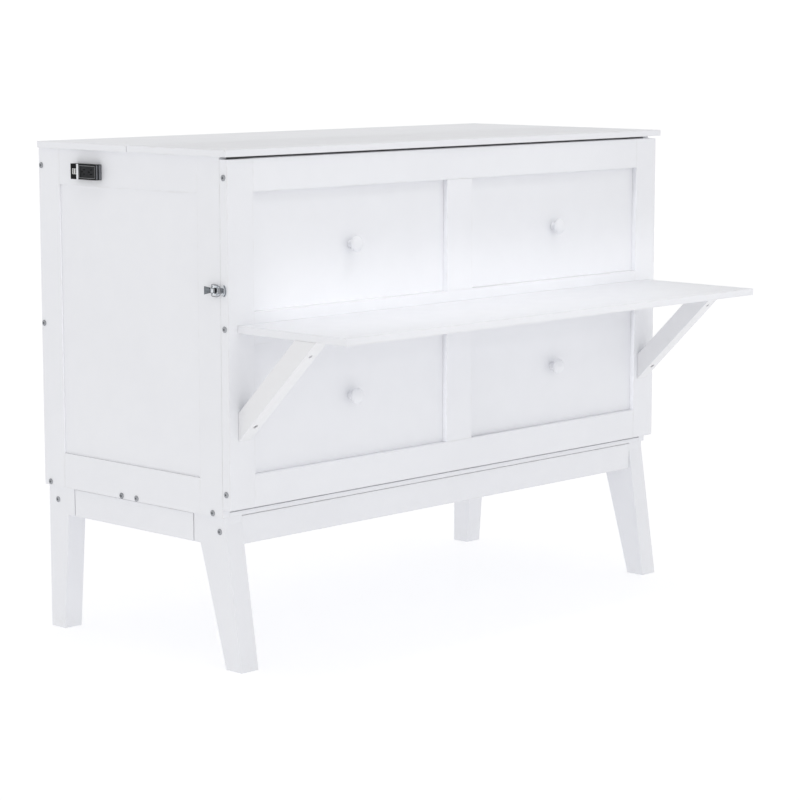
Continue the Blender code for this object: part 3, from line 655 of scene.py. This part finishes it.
def make_braces():
    for index, (side, _) in enumerate(SIDES):
        name = f"desk_brace_{side}"
        low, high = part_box(name)
        top_near = PANEL_FACE - BRACE_TOP_START
        foot_high = low.z + BRACE_FOOT_HEIGHT
        lower_start = Vector((0.0, high.y, low.z))
        lower_end = Vector((0.0, low.y, high.z))
        outline = [(high.y, low.z), (high.y, foot_high), (top_near, high.z), (low.y, high.z)]
        body_mesh = prism_mesh(outline, 0, low.x, high.x)
        run = lower_end - lower_start
        outward = Vector((0.0, run.z, -run.y)).normalized()
        if outward.z > 0:
            outward = -outward
        middle = (low.x + high.x) / 2
        cutters = []
        heads = []
        for end, share, radius, depth, steel in BRACE_BORES:
            place = lower_start + share * run
            place.x = middle
            bottom = place - outward * depth
            cutters.append(turned([(radius, 0.0), (radius, depth + 0.02)], bottom, outward, 40))
            heads.append((end, bottom, radius * 0.80, steel))
        mesh = carved(body_mesh, cutters, 0.0009)
        # The braces take the darker, warmer white: painted shade under the shelf.
        material = paint(f"paint_{name}", 340.0 + 6.3 * index,
                         light=WHITE_PAINTED_SHADE, deep=WHITE_PAINTED_SHADE_DEEP)
        piece = new_piece(f"bored_{name}", mesh, material, "front_panel", False)
        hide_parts(name)
        for end, bottom, radius, steel in heads:
            bm = bmesh.new()
            add_screw(bm, bottom + outward * 0.0002, outward, radius, 0.0022, radius * 0.45)
            new_piece(f"brace_{end}_screw_{side}", to_mesh(bm, "screw"), steel, "front_panel")


make_braces()

# ---- Bolts -----------------------------------------------------------------------------------

BOLT = (0.0070, 0.0024, 0.0027)      # radius, rise, socket
# Bolts on the sides and legs: back from the cabinet's front, and height. On the front: height.
SIDE_BOLTS = ((0.6115, 1.088), (0.6115, 0.722), (0.5990, 0.349), (0.3420, 0.348),
              (0.2900, 0.348), (0.0326, 0.349))
LEG_BOLTS = ((0.5830, 0.3075), (0.0190, 0.3077))
PANEL_BOLTS = (1.084, 0.7575, 0.395)


def make_bolts():
    edge_y = (PANEL_FACE + PANEL_BACK) / 2
    for side, sign in SIDES:
        out = (sign, 0, 0)
        screws(f"carcass_bolts_{side}", [(sign * SIDE_X, FRONT + y, z) for y, z in SIDE_BOLTS],
               out, *BOLT, "cabinet")
        screws(f"leg_bolts_{side}", [(sign * LEG_X, FRONT + y, z) for y, z in LEG_BOLTS],
               out, *BOLT, "cabinet")
        screws(f"panel_bolts_{side}", [(sign * SIDE_X, edge_y, z) for z in PANEL_BOLTS],
               out, *BOLT, "front_panel")


make_bolts()

# ---- Toggle latches --------------------------------------------------------------------------

LEVER_AXIS = (0.006, 0.010)      # outwards from the side, and back from the cabinet's front
BAIL_AXIS = (0.006, 0.0215)
STRIKE_CENTRE = -0.0037
STRIKE_RADIUS = 0.0160
STRIKE_ROOT = (-0.0035, 0.0075)


def placed(mesh, sign):
    """A mesh drawn for the right-hand latch, from the side's plane, put on either side."""
    mesh.transform(Matrix.Scale(sign, 4, (1, 0, 0)))
    if sign < 0:
        mesh.flip_normals()
    mesh.transform(Matrix.Translation((sign * SIDE_X, FRONT, LATCH_Z)))
    return mesh


def channel_mesh(stations, thickness):
    """A folded sheet strip along Y: y, outward place, half width and depth of its two flanges."""
    bm = bmesh.new()
    rings = []
    for y, out, half, flange in stations:
        inner = half - thickness
        deep = out - thickness - flange
        rings.append([(out, y, -half), (out, y, half), (deep, y, half), (deep, y, inner),
                      (out - thickness, y, inner), (out - thickness, y, -inner),
                      (deep, y, -inner), (deep, y, -half)])
    add_rings(bm, rings)
    return to_mesh(bm, "channel")


def latch_lever_mesh():
    # y, outward place, half width, depth of the flanges
    ends = [(0.0118, 0.0098, 0.0050, 0.0036), (0.0142, 0.0100, 0.0052, 0.0040),
            (0.0180, 0.0101, 0.0054, 0.0040), (0.0220, 0.0103, 0.0056, 0.0030),
            (0.0250, 0.0112, 0.0062, 0.0020), (0.0282, 0.0137, 0.0073, 0.0012),
            (0.0310, 0.0163, 0.0084, 0.0008), (0.0328, 0.0180, 0.0090, 0.0006)]
    pairs = smooth_path([Vector((a, b, c)) for a, b, c, _ in ends], 5)
    depths = smooth_path([Vector((a, d, 0)) for a, _, _, d in ends], 5)
    stations = [(p.x, min(p.y, 0.0180), p.z, max(q.y, 0.0004)) for p, q in zip(pairs, depths)]
    plate = channel_mesh(stations, 0.0009)
    curl = tube_mesh([Vector((0.0172, 0.0326, z)) for z in (-0.0089, -0.0045, 0.0, 0.0045, 0.0089)],
                     0.0008)
    return joined([plate, curl])


def latch_barrel_mesh():
    x, y = LEVER_AXIS
    return turned([(0.0014, 0.0), (0.0020, 0.0003), (0.0022, 0.0008), (0.0022, 0.0118),
                   (0.0020, 0.0123), (0.0014, 0.0126)], (x, y, -0.0063), (0, 0, 1), 32)


def latch_highlight_saddle_mesh():
    """Painted highlight on the lever's middle: a bright plate lying along its back, rounded at both
    ends.
    """
    plate = box_mesh((0.0098, 0.0107), (0.0120, 0.0205), (-0.0046, 0.0046))
    return carved(plate, [], 0.0004)


def latch_rivets_mesh():
    heads = [turned([(0.0013, 0.0), (0.0013, 0.0005), (0.0009, 0.0009)],
                    (0.0100, 0.0228, z), (1, 0, 0), 20) for z in (-0.0042, 0.0042)]
    return joined(heads)


def latch_base_mesh():
    plate = box_mesh((0.0003, 0.0018), (0.002, 0.029), (-0.0105, 0.0105))
    bridge = box_mesh((0.0012, 0.0056), (0.0008, 0.0045), (-0.0060, 0.0060))
    parts = [carved(plate, [], 0.0004), carved(bridge, [], 0.0006)]
    for side in (-1, 1):
        ear = [(0.0012, 0.0064), (0.0012, 0.0136), (0.0052, 0.0136), (0.0078, 0.0126),
               (0.0092, 0.0110), (0.0092, 0.0090), (0.0078, 0.0074), (0.0052, 0.0064)]
        z = sorted((side * 0.0078, side * 0.0098))
        parts.append(prism_mesh(ear, 2, z[0], z[1]))
    x, y = LEVER_AXIS
    parts.append(turned([(0.0012, 0.0), (0.0021, 0.0003), (0.0021, 0.0009), (0.0013, 0.0010),
                         (0.0013, 0.0198), (0.0021, 0.0199), (0.0021, 0.0205), (0.0012, 0.0208)],
                        (x, y, -0.0104), (0, 0, 1), 24))
    return joined(parts)


def strike_arc(radius):
    """Points (y, z) along the strike's round nose, at a radius about its centre."""
    first, last = math.radians(127), math.radians(233)
    angles = [first + (last - first) * i / 32 for i in range(33)]
    return [(STRIKE_CENTRE + radius * math.cos(angle), radius * math.sin(angle))
            for angle in angles]


def latch_strike_mesh():
    y, z = STRIKE_ROOT
    return prism_mesh([(y, z)] + strike_arc(STRIKE_RADIUS) + [(y, -z)], 0, 0.0003, 0.0017)


def latch_strike_rim_mesh():
    path = [Vector((0.0020, y, z)) for y, z in strike_arc(STRIKE_RADIUS - 0.0011)]
    return tube_mesh(path, 0.0009)


def latch_strike_hook_mesh():
    fold = [(0.0012, 0.0000), (0.0012, -0.0016), (0.0054, -0.0020), (0.0074, -0.0028),
            (0.0079, -0.0044), (0.0072, -0.0058), (0.0080, -0.0066), (0.0092, -0.0050),
            (0.0094, -0.0026), (0.0082, -0.0008), (0.0048, 0.0000)]
    return prism_mesh(fold, 2, -0.0062, 0.0062)


def bail_mesh():
    rise = 0.0030
    x, y = BAIL_AXIS
    front = -0.0085
    half = [(0.0, 0.0, 0.0), (0.0, 0.0, 0.0080), (0.0, 0.0, 0.0112), (0.0, -0.0016, 0.0127),
            (0.15 * rise, -0.0060, 0.0131), (0.4 * rise, -0.0130, 0.0130),
            (0.75 * rise, -0.0190, 0.0126), (rise, -0.0240, 0.0114),
            (rise, front - y + 0.0020, 0.0096), (rise, front - y, 0.0070), (rise, front - y, 0.0)]
    points = [Vector((x + a, y + b, c)) for a, b, c in half]
    points += [Vector((x + a, y + b, -c)) for a, b, c in reversed(half[1:-1])]
    return tube_mesh(smooth_path(points, 5, closed=True), 0.0010, closed=True)


def make_latches():
    parts = (
        # name, mesh, body, look, whether it stands in for a node
        ("latch_base", latch_base_mesh, "cabinet", NICKEL, True),
        ("latch_strike", latch_strike_mesh, "front_panel", NICKEL, True),
        # The rim is dark: painted shade on the lip's shaded face; the plate under it is nickel.
        ("latch_strike_rim", latch_strike_rim_mesh, "front_panel", DARK_STEEL_AND_RIM_SHADE, False),
        ("latch_strike_hook", latch_strike_hook_mesh, "front_panel", WIRE_STEEL, False),
        ("latch_lever", latch_lever_mesh, "latch_lever_{}", DARK_STEEL_AND_RIM_SHADE, True),
        # The barrel is nearly black: painted shade in the lever's slot.
        ("latch_lever_barrel", latch_barrel_mesh, "latch_lever_{}", PIVOT_SHADE_STEEL, False),
        # The bright saddle is a painted highlight on the dark lever.
        ("latch_lever_saddle", latch_highlight_saddle_mesh, "latch_lever_{}", NICKEL, False),
        ("latch_lever_rivets", latch_rivets_mesh, "latch_lever_{}", PIVOT_SHADE_STEEL, False),
        ("latch_bail", bail_mesh, "latch_bail_{}", WIRE_STEEL, True),
    )
    for side, sign in SIDES:
        for name, build, body, material, stands_in in parts:
            mesh = placed(build(), sign)
            piece = new_piece(f"formed_{name}_{side}", mesh, material, body.format(side))
            if stands_in:
                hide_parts(f"{name}_{side}")
        out = (sign, 0, 0)
        screws(f"latch_base_screws_{side}",
               [(sign * (SIDE_X + 0.0018), FRONT + 0.0255, LATCH_Z + z) for z in (-0.0078, 0.0078)],
               out, 0.0021, 0.0008, 0.0008, "cabinet")
        heads = [turned([(0.0018, 0.0), (0.0017, 0.0003), (0.0009, 0.0006)],
                        (sign * (SIDE_X + 0.0017), FRONT - 0.0125, LATCH_Z + z), out, 20)
                 for z in (-0.0052, 0.0052)]
        new_piece(f"latch_strike_rivets_{side}", joined(heads), NICKEL, "front_panel")


make_latches()

# ---- Charging outlet -------------------------------------------------------------------------


LIP = 0.0024                 # raised rim around the socket's face
RIM_INSET = 0.0006
CLEAR = 0.01                 # how far a cutter stands past the surface it cuts


def dress_housing():
    dress(NODES["outlet_housing"], BLACK)
    soften(NODES["outlet_housing"], 0.0007)
    dress(NODES["outlet_trim_strip"], SATIN_TRIM)
    soften(NODES["outlet_trim_strip"], 0.0003)


def make_socket():
    """Two sets of contact slots in a well behind a raised, outlined lip."""
    low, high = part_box("outlet_socket")
    middle = (low + high) / 2
    face = low.x + 0.0020
    depth = face + 0.0032
    base = box_mesh((low.x, high.x), (low.y, high.y), (low.z, high.z))
    cutters = [box_mesh((low.x - CLEAR, face), (low.y + LIP, high.y - LIP),
                        (low.z + LIP, high.z - LIP))]
    for offset in (-0.0125, 0.0125):
        centre_y = middle.y + offset
        for up, length in ((-0.0050, 0.0080), (0.0050, 0.0068)):
            cutters.append(box_mesh((face - 0.001, depth),
                                    (centre_y - length / 2, centre_y + length / 2),
                                    (middle.z + up - 0.0010, middle.z + up + 0.0010)))
        hole = (depth, centre_y + 0.0078, middle.z)
        cutters.append(turned([(0.0022, 0.0), (0.0022, 0.006)], hole, (-1, 0, 0), 24))
    mesh = carved(base, cutters, 0.0003)
    piece = new_piece("socket_face", mesh, CHARCOAL_AND_SHADE, "cabinet")
    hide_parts("outlet_socket")
    inner = LIP - RIM_INSET
    outline = carved(
        box_mesh((low.x - 0.00045, low.x + 0.0004), (low.y + RIM_INSET, high.y - RIM_INSET),
                 (low.z + RIM_INSET, high.z - RIM_INSET)),
        [box_mesh((low.x - CLEAR, low.x + CLEAR), (low.y + inner, high.y - inner),
                  (low.z + inner, high.z - inner))], 0.0002)
    new_piece("socket_outline", outline, GREY_LINE, "cabinet")


def usb_block():
    """The block's corners, and the Y of its two ports."""
    low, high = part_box("outlet_usb_block")
    quarter = (high.y - low.y) / 4
    return low, high, (low.y + quarter, high.y - quarter)


def make_usb_face():
    low, high, ports = usb_block()
    base = box_mesh((low.x, high.x), (low.y, high.y), (low.z, high.z))
    cutters = [box_mesh((low.x - CLEAR, low.x + 0.0045), (port - 0.0024, port + 0.0024),
                        (low.z + 0.0012, high.z - 0.0012)) for port in ports]
    mesh = carved(base, cutters, 0.0003)
    piece = new_piece("usb_face", mesh, IVORY, "cabinet")
    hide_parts("outlet_usb_block")


def make_end_sheen_ribs():
    # Two raised bands across the housing's front end, grey as painted sheen of the black plastic.
    low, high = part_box("outlet_housing")
    for index, (start, end) in enumerate(((0.0016, 0.0058), (0.0098, 0.0172))):
        band = box_mesh((low.x + start, low.x + end), (low.y - 0.0004, low.y + 0.001),
                        (low.z + 0.0012, high.z - 0.0012))
        new_piece(f"outlet_end_sheen_rib_{index}", carved(band, [], 0.0002), SHEEN_GREY, "cabinet")


def make_usb_tongues():
    low, high, ports = usb_block()
    tongues = [box_mesh((low.x + 0.0006, low.x + 0.0050), (port + 0.0004, port + 0.0016),
                        (low.z + 0.0020, high.z - 0.0020)) for port in ports]
    new_piece("usb_tongues", joined(tongues), GREY_LINE, "cabinet")


dress_housing()
make_socket()
make_usb_face()
make_end_sheen_ribs()
make_usb_tongues()

# ---- Top boards, seam hinge, back screws -------------------------------------------------------

SEAM_CHAMFER = 0.0022
TOP_GLOSS = 0.42
KNUCKLE_RADIUS = 0.0011
KNUCKLES = 24
BACK_SCREW = (0.0042, 0.0009, 0.0017)      # radius, rise, socket
BACK_SCREW_INSET = 0.018


def make_top():
    """The two top boards, chamfered along their seam, with a painted hinge lying in the groove."""
    low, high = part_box("top_rear_board")
    rear = [(low.y, low.z), (low.y, high.z - SEAM_CHAMFER), (low.y + SEAM_CHAMFER, high.z),
            (high.y, high.z), (high.y, low.z)]
    boards = [("top_rear_board", "cabinet", rear, low, high, 400.0)]
    low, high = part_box("top_front_flap")
    flap = [(low.y, low.z), (low.y, high.z), (high.y - SEAM_CHAMFER, high.z),
            (high.y, high.z - SEAM_CHAMFER), (high.y, low.z)]
    boards.append(("top_front_flap", "top_flap", flap, low, high, 410.0))
    for name, body, outline, low, high, seed in boards:
        mesh = prism_mesh(outline, 0, low.x, high.x)
        material = paint(f"paint_seamed_{name}", seed, low, high, TOP_GLOSS)
        piece = new_piece(f"seamed_{name}", mesh, material, body, False)
        soften(piece, 0.0005)
        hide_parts(name)
    low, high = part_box("top_rear_board")
    radius = KNUCKLE_RADIUS
    reach = high.x - 0.003
    pitch = 2 * reach / KNUCKLES
    knuckles = []
    for i in range(KNUCKLES):
        start = -reach + i * pitch
        profile = [(0.7 * radius, 0.0), (radius, 0.0004), (radius, pitch - 0.0009),
                   (0.7 * radius, pitch - 0.0005)]
        knuckles.append(turned(profile, (start, SEAM_Y, high.z - radius - 0.0001), (1, 0, 0), 16))
    new_piece("seam_hinge_knuckles", joined(knuckles), paint("paint_seam_hinge", 420.0),
              "cabinet")


def make_back_screws():
    low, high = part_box("back_panel")
    inset = BACK_SCREW_INSET
    xs = [low.x + inset + i * (high.x - low.x - 2 * inset) / 6 for i in range(7)]
    zs = [low.z + inset + i * (high.z - low.z - 2 * inset) / 4 for i in range(5)]
    places = [(x, high.y, z) for x in xs for z in (zs[0], zs[-1])]
    places += [(x, high.y, z) for x in (xs[0], xs[3], xs[-1]) for z in zs[1:-1]]
    screws("back_panel_screws", places, (0, 1, 0), *BACK_SCREW, "cabinet")


make_top()
make_back_screws()

# ---- Studio ----------------------------------------------------------------------------------

FLOOR_RADIUS = 50.0
FLOOR_GLOW = 0.37
OVERHEAD = (0.815, 0.815, 0.815)
RAKE_ANGLE = math.radians(8)         # apparent size of the skimming lights


def stage_mesh(name, rings, material):
    bm = bmesh.new()
    loops = [[bm.verts.new(point) for point in ring] for ring in rings]
    count = len(loops[0])
    bm.faces.new(loops[0])
    for near, far in zip(loops, loops[1:]):
        for i in range(count):
            j = (i + 1) % count
            bm.faces.new((near[i], far[i], far[j], near[j]))
    mesh = bpy.data.meshes.new(name)
    bm.to_mesh(mesh)
    bm.free()
    mesh.materials.append(material)
    floor = bpy.data.objects.new(name, mesh)
    bpy.context.scene.collection.objects.link(floor)


def make_floor():
    """A pale floor that turns up in a low lip far away."""
    material, tree, shader = new_graph("studio_floor")
    shader.inputs["Base Color"].default_value = (0.80, 0.80, 0.81, 1.0)
    shader.inputs["Roughness"].default_value = 0.9
    shader.inputs["Specular IOR Level"].default_value = 0.1
    shader.inputs["Emission Color"].default_value = (1.0, 1.0, 1.0, 1.0)
    shader.inputs["Emission Strength"].default_value = FLOOR_GLOW
    level = Matrix.Identity(4)
    rings = [ring_of(FLOOR_RADIUS, 0.0, 64, level), ring_of(FLOOR_RADIUS + 0.5, 2.6, 64, level)]
    stage_mesh("floor", rings, material)


def make_world():
    """Even studio light, a little weaker overhead than near the horizon."""
    world = bpy.data.worlds.new("studio")
    bpy.context.scene.world = world
    world.use_nodes = True
    tree = world.node_tree
    background = tree.nodes["Background"]
    up = put(tree, "SeparateXYZ", {0: put(tree, "TexCoord").outputs["Generated"]}).outputs[2]
    level = ramp_of(tree, up, 0.02, 0.28)
    colour = blend_of(tree, level, (1.0, 1.0, 1.0, 1.0), (*OVERHEAD, 1.0))
    tree.links.new(colour, background.inputs["Color"])
    background.inputs["Strength"].default_value = 1.0


def add_softbox(name, place, aim, size, power, spread=180.0):
    light = bpy.data.lights.new(name, "AREA")
    light.shape = "RECTANGLE"
    light.size, light.size_y = size
    light.energy = power
    light.spread = math.radians(spread)
    lamp = bpy.data.objects.new(name, light)
    bpy.context.scene.collection.objects.link(lamp)
    lamp.location = place
    lamp.rotation_euler = (Vector(aim) - Vector(place)).to_track_quat("-Z", "Y").to_euler()
    lamp.visible_camera = False


def add_rake(name, direction, strength, receivers, blockers=()):
    """Light that skims over the receivers only. They shade each other, and blockers shade them."""
    light = bpy.data.lights.new(name, "SUN")
    light.energy = strength
    light.angle = RAKE_ANGLE
    lamp = bpy.data.objects.new(name, light)
    bpy.context.scene.collection.objects.link(lamp)
    lamp.rotation_euler = Vector(direction).to_track_quat("-Z", "Y").to_euler()
    lit = bpy.data.collections.new(f"lit_by_{name}")
    shading = bpy.data.collections.new(f"shading_{name}")
    for board in receivers:
        lit.objects.link(board)
    for board in (*receivers, *blockers):
        shading.objects.link(board)
    lamp.light_linking.receiver_collection = lit
    lamp.light_linking.blocker_collection = shading


make_floor()
make_world()
add_softbox("key", (-0.8, -4.6, 2.2), (0.0, 0.0, 0.6), (2.6, 2.0), 3.2)
add_softbox("desk_light", (-0.1, -0.62, 1.9), (-0.1, -0.33, 0.764), (1.3, 0.20), 0.50, 44.0)
add_softbox("panel_light", (0.05, -1.6, 1.12), (0.05, -0.156, 0.790), (1.4, 0.10), 0.14, 12.0)
front_boards = [NODES[name] for name in sorted(NODES)
                if name.startswith("panel_") and "hinge" not in name and name != "panel_stile_left"]
side_boards = [NODES[name] for name in sorted(NODES)
               if name.startswith("side_") and not name.endswith("front_stile")]
add_rake("front_rake", (1.0, 0.03, -0.60), 1.15, front_boards)
add_rake("side_rake", (0.0, 1.0, -0.15), 1.1,
         side_boards + [bpy.data.objects["seamed_top_rear_board"]],
         [bpy.data.objects["seamed_top_front_flap"]])

# ---- Camera ----------------------------------------------------------------------------------

LENS = 114.261               # millimetres, on a sensor 36 mm wide
CAMERA_PLACE = (-4.39043, -4.18882, 1.40645)
CAMERA_DIP = 8.389           # degrees below the horizon
CAMERA_TURN = -46.078        # degrees about the vertical

scene = bpy.context.scene
scene.view_settings.view_transform = "Standard"
scene.view_settings.look = "None"

camera_data = bpy.data.cameras.new("camera")
camera_data.lens = LENS
camera_data.sensor_width = 36.0
camera = bpy.data.objects.new("camera", camera_data)
scene.collection.objects.link(camera)
camera.location = CAMERA_PLACE
camera.rotation_euler = (math.radians(90 - CAMERA_DIP), 0.0, math.radians(CAMERA_TURN))
scene.camera = camera
